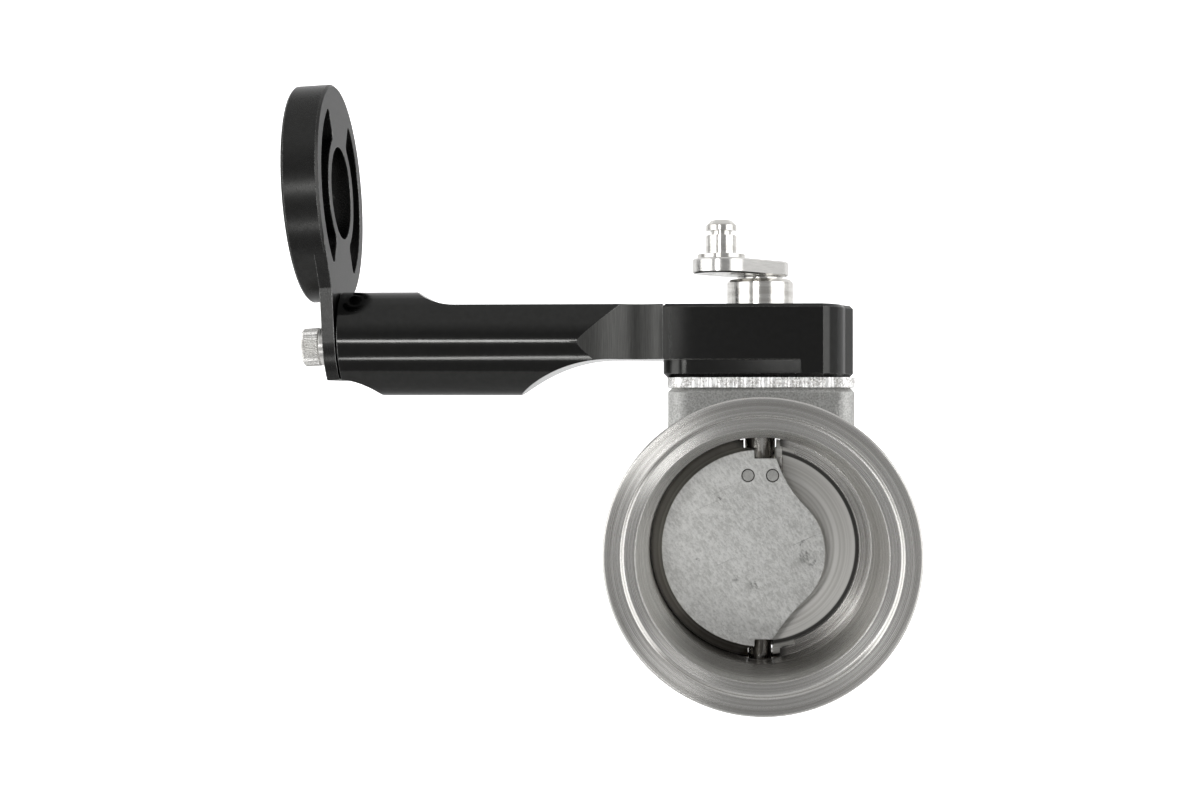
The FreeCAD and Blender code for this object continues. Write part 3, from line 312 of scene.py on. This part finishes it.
bush_bronze = bush_finish()
for node in ("upper_bush", "lower_bush"):
    dress(node, bush_bronze)

# Turned steel parts that carry or cover the shaft: the guide sleeve over the bracket, the thin
# thrust washer on it, and the threaded plug under the lower bush. Bright finish-turned steel.


def turned_steel_finish(name, centre):
    light, deep, bare = (0.74, 0.73, 0.70, 1), (0.60, 0.585, 0.555, 1), (0.85, 0.84, 0.82, 1)
    smooth, dull, ring_depth, worn_share = 0.14, 0.224, 0.000002, 0.5
    material, tree, place = start_finish(name)
    wear = use(tree, edge_wear, Radius=0.0002)
    marks = use(tree, turning_marks, Vector=turn_about(tree, place, "Z", centre), Pitch=0.00025)
    colour = tint(tree, ramp(tree, marks["Tone"], *MIDDLE), deep, light)
    finish_with(tree, {
        "Base Color": worn(tree, wear, worn_share, colour, bare), "Metallic": 1.0,
        "Roughness": ramp(tree, marks["Height"], *WIDE, start=smooth, end=dull),
        "Normal": bump(tree, marks["Height"], ring_depth, wear["Normal"])})
    return material


def upright_axis(node):
    """The middle of a node's box, seen from above."""
    low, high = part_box(node)
    return ((low.x + high.x) / 2, (low.y + high.y) / 2, 0.0)


shaft_axis = upright_axis("drive_shaft")
bright_steel = turned_steel_finish("bright_turned_steel", shaft_axis)
for node in ("bearing_sleeve", "thrust_washer", "lower_plug"):
    dress(node, bright_steel)

# Heat gasket: layers of thin stainless foil over a soft core, its edge pinched all round so
# that it looks wavy. The foil is bright, its creases dull and darkened by painted shade.


def gasket_finish():
    foil, crease_shade_colour = (0.93, 0.93, 0.92, 1), (0.50, 0.49, 0.47, 1)
    fold_scale, fine_scale, fine_share, fold_depth = 420.0, 2600.0, 0.12, 0.00035
    material, tree, place = start_finish("gasket_foil")
    wear = use(tree, edge_wear, Radius=0.00015)
    folds = noise(tree, place, fold_scale, detail=4.0, roughness=0.6)
    fine = noise(tree, place, fine_scale)
    # Painted shade: the hollows of the folds are coloured darker.
    painted_crease_shade = times(tree, ramp(tree, folds, 0.60, 0.46), ramp(tree, fine, 0.40, 0.60))
    height = plus(tree, folds, times(tree, fine, fine_share))
    finish_with(tree, {
        "Base Color": tint(tree, painted_crease_shade, foil, crease_shade_colour), "Metallic": 0.85,
        "Roughness": ramp(tree, folds, *MIDDLE, start=0.55, end=0.35),
        "Normal": bump(tree, height, fold_depth, wear["Normal"])})
    return material


dress("heat_gasket", gasket_finish())

# Actuator bracket: plate and round arm milled from one aluminium billet and black anodised.
# The arm is smooth and shows two thin highlights, the milled waist beside it stays duller and
# its upright front faces carry a painted sheen of lighter grey.


def anodised_finish(name, smooth=0.09, more_on_ends=0.20, waist=None):
    black, faded = (0.036, 0.036, 0.035, 1), (0.044, 0.044, 0.043, 1)
    grey, bare, sheen = (0.075, 0.075, 0.072, 1), (0.42, 0.42, 0.41, 1), (0.72, 0.72, 0.72, 1)
    spread, more_in_waist, worn_share = 0.04, 0.34, 0.8
    grain_depth, cutter_depth = 0.0000015, 0.00003
    cutter_scale = (6000.0, 6000.0, 160.0)
    material, tree, place = start_finish(name)
    wear = use(tree, edge_wear, Radius=0.00035, Breakup=1500.0)
    grain = use(tree, blasted_grain, Vector=place, Size=0.00018)
    facing = split(tree, add(tree, "TexCoord").outputs["Normal"])
    colour = tint(tree, ramp(tree, grain["Tone"], *WIDE), black, faded)
    rough = ramp(tree, grain["Height"], 0.4, 1.0, start=smooth, end=smooth + spread)
    ends = ramp(tree, calc(tree, "ABSOLUTE", facing[0]), 0.95, 0.99)
    rough = plus(tree, rough, times(tree, ends, more_on_ends))
    height = times(tree, grain["Height"], grain_depth)
    if waist:
        left, right = waist
        lines = add(tree, "Mapping", {"Vector": place, "Scale": cutter_scale}).outputs[0]
        cutter = noise(tree, lines, 1.0)
        sideways = split(tree, place)[0]
        after_left = ramp(tree, sideways, left - 0.002, left)
        before_right = ramp(tree, sideways, right + 0.009, right - 0.006)
        upright = ramp(tree, calc(tree, "ABSOLUTE", facing[2]), 0.02, 0.01)
        front = ramp(tree, facing[1], -0.2, -0.3)
        dull = times(tree, after_left, before_right, upright, front)
        painted_sheen_streaks = ramp(tree, cutter, *WIDE, start=0.5, end=1.0)
        # Painted sheen: the waist's upright front faces are coloured lighter grey, in streaks.
        colour = tint(tree, times(tree, dull, painted_sheen_streaks), colour, grey)
        rough = plus(tree, rough, times(tree, dull, more_in_waist))
        height = plus(tree, height, times(tree, cutter, dull, cutter_depth))
    shader = finish_with(tree, {
        "Base Color": worn(tree, wear, worn_share, colour, bare), "Metallic": 1.0,
        "Roughness": rough, "Normal": bump(tree, height, 1.0, wear["Normal"])})
    shader.inputs["Specular Tint"].default_value = sheen
    return material


dress("actuator_bracket", anodised_finish("black_anodised_arm", waist=(-0.047, -0.025)))

# Cap screws: stainless socket-head screws with a knurled head and a smooth band under it. Four
# sit in the plate's counterbores on washers, and one clamps the ring's tab to the arm.
HEAD_RADIUS = 0.005
HEAD_HEIGHT = 0.006
KNURLS = 57
KNURL_WAVE = (0.0, 0.5, 1.0, 0.5)
STEPS = len(KNURL_WAVE) * KNURLS


def screw_finish():
    light, deep, bare = (0.84, 0.83, 0.81, 1), (0.58, 0.57, 0.55, 1), (0.80, 0.79, 0.76, 1)
    worn_share, grain_depth = 0.6, 0.000006
    material, tree, place = start_finish("stainless_screw")
    wear = use(tree, edge_wear, Radius=0.00015, Breakup=2500.0)
    grain = use(tree, blasted_grain, Vector=place, Size=0.0002)
    colour = tint(tree, ramp(tree, grain["Tone"], *WIDE), deep, light)
    finish_with(tree, {
        "Base Color": worn(tree, wear, worn_share, colour, bare), "Metallic": 1.0,
        "Roughness": ramp(tree, grain["Height"], 0.3, 1.0, start=0.20, end=0.34),
        "Normal": bump(tree, grain["Height"], grain_depth, wear["Normal"])})
    return material


screw_steel = screw_finish()


def hexagon_reach(turn, across_flats):
    """Distance from the axis to a hexagon's side in a given direction."""
    return across_flats / 2 / math.cos((turn + math.pi / 6) % (math.pi / 3) - math.pi / 6)


def cap_screw(name, length, origin, upward):
    """Socket-head cap screw with its head's seat at origin, lofted from rings up its axis."""
    shank, head, tall, band = 0.003, HEAD_RADIUS, HEAD_HEIGHT, 0.0015
    socket, socket_depth, drill_point = 0.005, 0.0032, 0.0006
    chamfer, broken_edge, lip = 0.0005, 0.0001, 0.00025
    groove_below, groove_above, groove_depth, knurl_depth = 0.0003, 0.0002, 0.0004, 0.00028
    plain = [(0.0, -length), (shank - chamfer, -length), (shank, chamfer - length), (shank, 0.0),
             (head - broken_edge, 0.0), (head, broken_edge), (head, band - groove_below),
             (head - groove_depth, band)]
    rings = [[(reach, rise)] * STEPS for reach, rise in plain]
    dips = [knurl_depth * wave for wave in KNURL_WAVE] * KNURLS
    for rise in (band + groove_above, tall - chamfer):
        rings.append([(head - dip, rise) for dip in dips])
    rings.append([(head - chamfer, tall)] * STEPS)
    turns = [2 * math.pi * step / STEPS for step in range(STEPS)]
    for extra, rise in ((lip, tall), (0.0, tall - lip), (0.0, tall - socket_depth)):
        rings.append([(hexagon_reach(turn, socket) + extra, rise) for turn in turns])
    rings.append([(0.0, tall - socket_depth - drill_point)] * STEPS)
    points = [(reach * math.cos(turn), reach * math.sin(turn), rise)
              for ring in rings for (reach, rise), turn in zip(ring, turns)]
    faces = []
    for here in range(0, len(points) - STEPS, STEPS):
        above = here + STEPS
        for step in range(STEPS):
            following = (step + 1) % STEPS
            faces.append((here + step, here + following, above + following, above + step))
    mesh = bpy.data.meshes.new(name)
    mesh.from_pydata(points, [], faces)
    mesh.update()
    spin = Vector((0, 0, 1)).rotation_difference(upward).to_matrix().to_4x4()
    spin.translation = origin
    mesh.transform(spin)
    return mesh


def piece(name, meshes, body, material, slot, *nodes):
    """A new piece made of one or more meshes, tidied, finished and tied to its body."""
    touching, sharp = 1e-7, math.radians(24)
    work = bpy.data.meshes.new(name)
    shell = bmesh.new()
    for mesh in meshes:
        shell.from_mesh(mesh)
    bmesh.ops.remove_doubles(shell, verts=shell.verts, dist=touching)
    bmesh.ops.recalc_face_normals(shell, faces=shell.faces)
    shell.to_mesh(work)
    shell.free()
    work.shade_smooth()
    work.set_sharp_from_angle(angle=sharp)
    work.materials.append(material)
    made = bpy.data.objects.new(name, work)
    bpy.context.scene.collection.objects.link(made)
    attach(made, body)
    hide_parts(*nodes)


def sunk_screws():
    """The plate's four screws, one at each corner of the box round their solids."""
    low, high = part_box("bracket_bolts")
    seat_height = high.z - HEAD_HEIGHT
    meshes = []
    for x in (low.x + HEAD_RADIUS, high.x - HEAD_RADIUS):
        for y in (low.y + HEAD_RADIUS, high.y - HEAD_RADIUS):
            seat = Vector((x, y, seat_height))
            meshes.append(cap_screw("sunk_screw", seat_height - low.z, seat, Vector((0, 0, 1))))
    return meshes


piece("cap_screws_in_plate", sunk_screws(), "housing", screw_steel,
      "stainless_screw", "bracket_bolts")
for node in ("bolt_washers", "bracket_dowels"):
    dress(node, screw_steel)

# Shaft seal: a ring of graphite packing at the bottom of the plate's bore, pressed into shape
# and dull black.


def seal_finish():
    black, grey, grain_depth = (0.012, 0.012, 0.013, 1), (0.05, 0.05, 0.052, 1), 0.00002
    material, tree, place = start_finish("graphite_packing")
    wear = use(tree, edge_wear, Radius=0.0002)
    grain = use(tree, blasted_grain, Vector=place, Size=0.0003)
    finish_with(tree, {
        "Base Color": tint(tree, grain["Tone"], black, grey), "Metallic": 0.3,
        "Roughness": ramp(tree, grain["Height"], 0.3, 1.0, start=0.35, end=0.6),
        "Normal": bump(tree, grain["Height"], grain_depth, wear["Normal"])})
    return material


dress("shaft_seal", seal_finish())

# Swing disc: stainless casting, its plateau blasted and handled, its bevels, sealing lands and
# dishes turned. The plateau is coloured lighter than the body's casting, as painted light against
# the bore's shade. Small scratches and a few dark rubs lie on the plateau, and painted shade
# darkens the thin line where the disc meets the ledges.


def slanted(tree, place, degrees, sizes):
    """The place of a point in a pattern of the given sizes, slanted on the disc's face."""
    inputs = {"Vector": place, "Rotation": (0.0, math.radians(degrees), 0.0), "Scale": sizes}
    return add(tree, "Mapping", inputs, vector_type="TEXTURE").outputs[0]


def disc_finish():
    # Painted light: the plateau's colours are lighter than the body's blasted casting, making up
    # for the bore's shade.
    light, deep = (0.78, 0.78, 0.76, 1), (0.54, 0.54, 0.52, 1)
    turned_light, turned_deep = (0.62, 0.61, 0.585, 1), (0.46, 0.45, 0.425, 1)
    bare, rubbed, soot_and_shade_colour = (0.78, 0.77, 0.75, 1), (0.13, 0.13, 0.125, 1), (0.02, 0.019, 0.018, 1)
    worn_share, rubbed_share, scratched_share, soot_and_shade_share = 0.5, 0.75, 0.35, 0.92
    flat_rough, flat_depth, grain_share, ring_depth = 0.42, 0.00006, 0.4, 0.000012
    stipple_sizes, scratch_sizes = (0.0011, 0.0010, 0.00055), (0.020, 0.016, 0.0004)
    rubs = [(0.0113, -0.0022, 0.0022), (0.0135, -0.0040, 0.0016), (-0.0063, -0.0080, 0.0014),
            (-0.0020, -0.0100, 0.0018), (-0.0105, 0.0130, 0.0012), (0.0110, 0.0012, 0.0010),
            (-0.0160, -0.0030, 0.0009)]
    ragged_scale, ragged_reach = 500.0, 0.0035
    low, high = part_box("valve_disc")
    middle, half_thickness = (low.y + high.y) / 2, (high.y - low.y) / 2
    seat, seat_half_thickness = (high.z - low.z) / 2 - 0.0031, 0.0010
    material, tree, place = start_finish("disc_casting")
    wear = use(tree, edge_wear, Radius=0.0003)
    marks = use(tree, turning_marks, Vector=turn_about(tree, place, "Y"), Pitch=0.00025, Drift=0.7)
    grain = use(tree, blasted_grain, Vector=place, Size=0.0005)

    part = split(tree, place)
    from_middle = calc(tree, "ABSOLUTE", calc(tree, "SUBTRACT", part[1], middle))
    flat_top = ramp(tree, from_middle, half_thickness - 0.0002, half_thickness - 0.0001)
    outward = distance(tree, part[0], part[2])
    # Painted shade: a thin dark ring on the dish where the disc meets the seat's ledge.
    soot_and_shade = times(tree, ramp(tree, outward, seat - 0.0006, seat - 0.0002),
                  ramp(tree, outward, seat + 0.0012, seat + 0.0004),
                  ramp(tree, from_middle, seat_half_thickness + 0.0004, seat_half_thickness))
    cloud = add(tree, "TexNoise", {"Vector": place, "Scale": ragged_scale, "Detail": 3.0})
    shift = add(tree, "VectorMath", {0: cloud.outputs["Color"], "Scale": ragged_reach},
                operation="SCALE").outputs[0]
    ragged = add(tree, "VectorMath", {0: place, 1: shift}, operation="ADD").outputs[0]
    spots = 0.0
    for x, z, size in rubs:
        centre = Vector((x, low.y, z)) + Vector([ragged_reach / 2] * 3)
        away = add(tree, "VectorMath", {0: ragged, 1: centre}, operation="DISTANCE")
        spots = calc(tree, "MAXIMUM", spots,
                     ramp(tree, away.outputs["Value"], size, size * 0.2))

    stipple = noise(tree, slanted(tree, place, 52.0, stipple_sizes), 1.0, roughness=0.6)
    streaks = noise(tree, slanted(tree, place, -24.0, scratch_sizes), 1.0)
    scratch = ramp(tree, streaks, 0.70, 0.76)
    flat_tone = times(tree, plus(tree, stipple, grain["Tone"]), 0.5)
    flat_colour = tint(tree, ramp(tree, flat_tone, 0.36, 0.62), deep, light)
    broken = ramp(tree, stipple, 0.35, 0.62, start=1.0, end=0.25)
    flat_colour = tint(tree, times(tree, spots, broken, rubbed_share), flat_colour, rubbed)
    flat_colour = tint(tree, times(tree, scratch, scratched_share), flat_colour, rubbed)
    turned_colour = tint(tree, ramp(tree, marks["Tone"], *MIDDLE), turned_deep, turned_light)
    colour = tint(tree, flat_top, turned_colour, flat_colour)
    colour = worn(tree, wear, worn_share, colour, bare)
    # Painted shade along the line where the disc meets the ledges.
    colour = tint(tree, times(tree, soot_and_shade, soot_and_shade_share), colour, soot_and_shade_colour)
    turned_rough = ramp(tree, marks["Height"], *WIDE, start=0.30, end=0.38)
    dimples = plus(tree, stipple, times(tree, grain["Height"], grain_share))
    height = between(tree, flat_top, times(tree, marks["Height"], ring_depth),
                     times(tree, dimples, flat_depth))
    finish_with(tree, {
        "Base Color": colour, "Metallic": 1.0,
        "Roughness": between(tree, flat_top, turned_rough, flat_rough),
        "Normal": bump(tree, height, 1.0, wear["Normal"])})
    return material


dress("valve_disc", disc_finish())

# Drive shaft and lower pivot: heat-resisting steel, blued to a brown black where it stands in
# the gas, bright in streaks where the disc's fit has rubbed it and bright all over above that.


def shaft_finish():
    scorched, rubbed, bare = (0.15, 0.14, 0.125, 1), (0.64, 0.63, 0.60, 1), (0.55, 0.53, 0.50, 1)
    streak_scale, gas_top, clean_from = (700.0, 700.0, 150.0), 0.036, 0.042
    worn_share, ring_depth = 0.5, 0.000006
    material, tree, place = start_finish("scorched_shaft_steel")
    wear = use(tree, edge_wear, Radius=0.0002)
    marks = use(tree, turning_marks, Vector=turn_about(tree, place, "Z", shaft_axis), Pitch=0.0002)
    stretched = add(tree, "Mapping", {"Vector": place, "Scale": streak_scale}).outputs[0]
    streak = ramp(tree, noise(tree, stretched, 1.0, detail=3.0), 0.42, 0.62)
    above_gas = ramp(tree, split(tree, place)[2], gas_top, clean_from)
    streak = calc(tree, "MAXIMUM", streak, above_gas)
    colour = tint(tree, streak, scorched, rubbed)
    finish_with(tree, {
        "Base Color": worn(tree, wear, worn_share, colour, bare), "Metallic": 1.0,
        "Roughness": ramp(tree, streak, 0.0, 1.0, start=0.32, end=0.18),
        "Normal": bump(tree, marks["Height"], ring_depth, wear["Normal"])})
    return material


scorched_steel = shaft_finish()
for node in ("drive_shaft", "lower_pivot"):
    dress(node, scorched_steel)

# Disc rivets: plain stainless pins, set flush through disc and blade and blasted with the disc.
# A dark line runs round each end.


def rivet_finish():
    light, deep, dark = (0.56, 0.56, 0.54, 1), (0.40, 0.40, 0.385, 1), (0.05, 0.048, 0.045, 1)
    rim_start, rim_end, grain_depth, far_away = 0.00035, 0.00015, 0.00003, 1.0
    low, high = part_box("disc_rivets")
    reach, axis_height = (high.z - low.z) / 2, (high.z + low.z) / 2
    material, tree, place = start_finish("blasted_rivet")
    wear = use(tree, edge_wear, Radius=0.0003)
    grain = use(tree, blasted_grain, Vector=place, Size=0.0004)
    part = split(tree, place)
    from_rivet = far_away
    for x in (low.x + reach, high.x - reach):
        away = distance(tree, calc(tree, "SUBTRACT", part[0], x),
                        calc(tree, "SUBTRACT", part[2], axis_height))
        from_rivet = calc(tree, "MINIMUM", from_rivet, away)
    rim = ramp(tree, from_rivet, reach - rim_start, reach - rim_end)
    colour = tint(tree, ramp(tree, grain["Tone"], *WIDE), deep, light)
    finish_with(tree, {
        "Base Color": tint(tree, rim, colour, dark), "Metallic": 1.0, "Roughness": 0.45,
        "Normal": bump(tree, grain["Height"], grain_depth, wear["Normal"])})
    return material


dress("disc_rivets", rivet_finish())

# Crank lever and crank pin: the lever is milled from steel and brushed, and the pin pressed
# into it is turned bright, with a groove for its clip.


def lever_finish():
    light, deep, bare = (0.74, 0.73, 0.71, 1), (0.62, 0.61, 0.59, 1), (0.86, 0.85, 0.84, 1)
    brush_scale, worn_share, brush_depth = (260.0, 260.0, 7000.0), 0.5, 0.000004
    material, tree, place = start_finish("polished_lever")
    wear = use(tree, edge_wear, Radius=0.00025)
    lines = add(tree, "Mapping", {"Vector": place, "Scale": brush_scale}).outputs[0]
    brush = noise(tree, lines, 1.0)
    finish_with(tree, {
        "Base Color": worn(tree, wear, worn_share, tint(tree, brush, deep, light), bare),
        "Metallic": 1.0, "Roughness": ramp(tree, brush, *WIDE, start=0.15, end=0.26),
        "Normal": bump(tree, brush, brush_depth, wear["Normal"])})
    return material


dress("crank_lever", lever_finish())
dress("crank_pin", turned_steel_finish("bright_turned_pin", upright_axis("crank_pin")))

# Actuator ring with its tab, milled from aluminium plate and black anodised like the bracket but
# duller, with the screw that clamps its tab to the arm. The screw leans as the arm's end does.
dress("actuator_ring", anodised_finish("black_anodised_ring", smooth=0.24, more_on_ends=0.04))

tab_screw_length, tab_lean = 0.0158, math.radians(2.9)
tab_low, tab_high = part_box("ring_bolt")
outward = Vector((-math.cos(tab_lean), 0.0, -math.sin(tab_lean)))
tab_seat = (tab_low + tab_high) / 2 + outward * (tab_screw_length - HEAD_HEIGHT) / 2
piece("tab_screw", [cap_screw("tab_screw", tab_screw_length, tab_seat, outward)], "housing",
      screw_steel, "stainless_screw", "ring_bolt")
dress("tab_washer", screw_steel)

# Studio: a pale sweep behind and below, a wide soft light on each side, a dark room in front,
# and two thin strips in it that draw the highlights on the round arm.
FLOOR = -0.22
ARM_MIDDLE = (-0.07, 0.03, 0.06)


def strip_lamp(name, place, width, height, power):
    """A long lamp that points at the arm and isn't seen itself."""
    light = bpy.data.lights.new(name, "AREA")
    light.shape = "RECTANGLE"
    light.size = width
    light.size_y = height
    light.energy = power
    holder = bpy.data.objects.new(name, light)
    holder.location = place
    aim = Vector(ARM_MIDDLE) - Vector(place)
    holder.rotation_euler = aim.to_track_quat("-Z", "Y").to_euler()
    holder.visible_camera = False
    bpy.context.scene.collection.objects.link(holder)


strip_lamp("upper_strip", (-0.18, -0.65, 0.106), width=0.17, height=0.045, power=0.38)
strip_lamp("lower_strip", (-0.125, -0.32, -0.168), width=0.14, height=0.022, power=0.11)


def sweep():
    """Floor that curves up into a backdrop."""
    half, near, far, height, bend, steps = 4.0, -0.12, 2.2, 4.0, 0.8, 12
    pale, mirrored_share, shadow_share = (0.80, 0.80, 0.80, 1), 0.30, 0.2
    under_part, shadow_zone = (0.0, 0.03, FLOOR), (0.25, 0.9)
    profile = [(near, FLOOR), (far - bend, FLOOR)]
    for step in range(1, steps + 1):
        turn = math.pi / 2 * step / steps
        profile.append((far - bend + bend * math.sin(turn), FLOOR + bend - bend * math.cos(turn)))
    profile.append((far, FLOOR + height))
    points = [(x, y, z) for y, z in profile for x in (-half, half)]
    faces = [(row, row + 1, row + 3, row + 2) for row in range(0, len(points) - 2, 2)]
    mesh = bpy.data.meshes.new("sweep")
    mesh.from_pydata(points, [], faces)
    mesh.shade_smooth()
    material, tree, place = start_finish("pale_sweep")
    path = add(tree, "LightPath").outputs
    mirrored = calc(tree, "MAXIMUM", path["Is Glossy Ray"], path["Is Transmission Ray"])
    seen = calc(tree, "MAXIMUM", path["Is Camera Ray"], times(tree, mirrored, mirrored_share))
    away = add(tree, "VectorMath", {0: place, 1: under_part}, operation="DISTANCE")
    clear = ramp(tree, away.outputs["Value"], *shadow_zone, start=shadow_share)
    finish_with(tree, {
        "Base Color": pale, "Roughness": 0.9,
        "Emission Color": (1, 1, 1, 1), "Emission Strength": times(tree, seen, clear)})
    mesh.materials.append(material)
    floor = bpy.data.objects.new("sweep", mesh)
    bpy.context.scene.collection.objects.link(floor)


sweep()


def studio_room():
    """Light of the room by direction: pale behind, bright at the sides, dark in front."""
    dark_front, pale_back, side_box, ceiling = 0.34, 0.80, 2.4, 0.75
    front_to_back, to_ceiling = (-0.45, 0.15), (0.35, 0.80)
    box_inner_edge, box_height, box_back_edge = (0.56, 0.66), (0.70, 0.50), (0.06, 0.0)
    world = bpy.data.worlds.new("studio")
    bpy.context.scene.world = world
    world.use_nodes = True
    tree = world.node_tree
    tree.nodes.clear()
    sideways, backward, upward = split(tree, add(tree, "TexCoord").outputs["Generated"])
    aside, level = (calc(tree, "ABSOLUTE", value) for value in (sideways, upward))
    room = ramp(tree, backward, *front_to_back, start=dark_front, end=pale_back)
    above = ramp(tree, upward, *to_ceiling, start=dark_front, end=ceiling)
    box = times(tree, ramp(tree, aside, *box_inner_edge), ramp(tree, level, *box_height),
                ramp(tree, backward, *box_back_edge), side_box)
    shade = add(tree, "LightPath").outputs["Is Camera Ray"]
    for light in (room, above, box):
        shade = calc(tree, "MAXIMUM", shade, light)
    background = add(tree, "Background", {"Color": (1, 1, 1, 1), "Strength": shade})
    output = tree.nodes.new("ShaderNodeOutputWorld")
    tree.links.new(background.outputs[0], output.inputs["Surface"])


studio_room()
bpy.context.scene.view_settings.view_transform = "Standard"

# Camera: level with the plate, a little left of the bore and turned left, as the photograph
# was taken. The focal length is worked out for a picture 1200 pixels wide.
FOCAL_PIXELS, PICTURE_WIDTH = 1881.0, 1200.0
eye = bpy.data.cameras.new("eye")
eye.sensor_width = 36.0
eye.lens = FOCAL_PIXELS / PICTURE_WIDTH * eye.sensor_width
camera = bpy.data.objects.new("eye", eye)
camera.location = (-0.007, -0.465, 0.0386)
camera.rotation_euler = (math.radians(90.0), 0.0, math.radians(4.06))
bpy.context.scene.collection.objects.link(camera)
bpy.context.scene.camera = camera
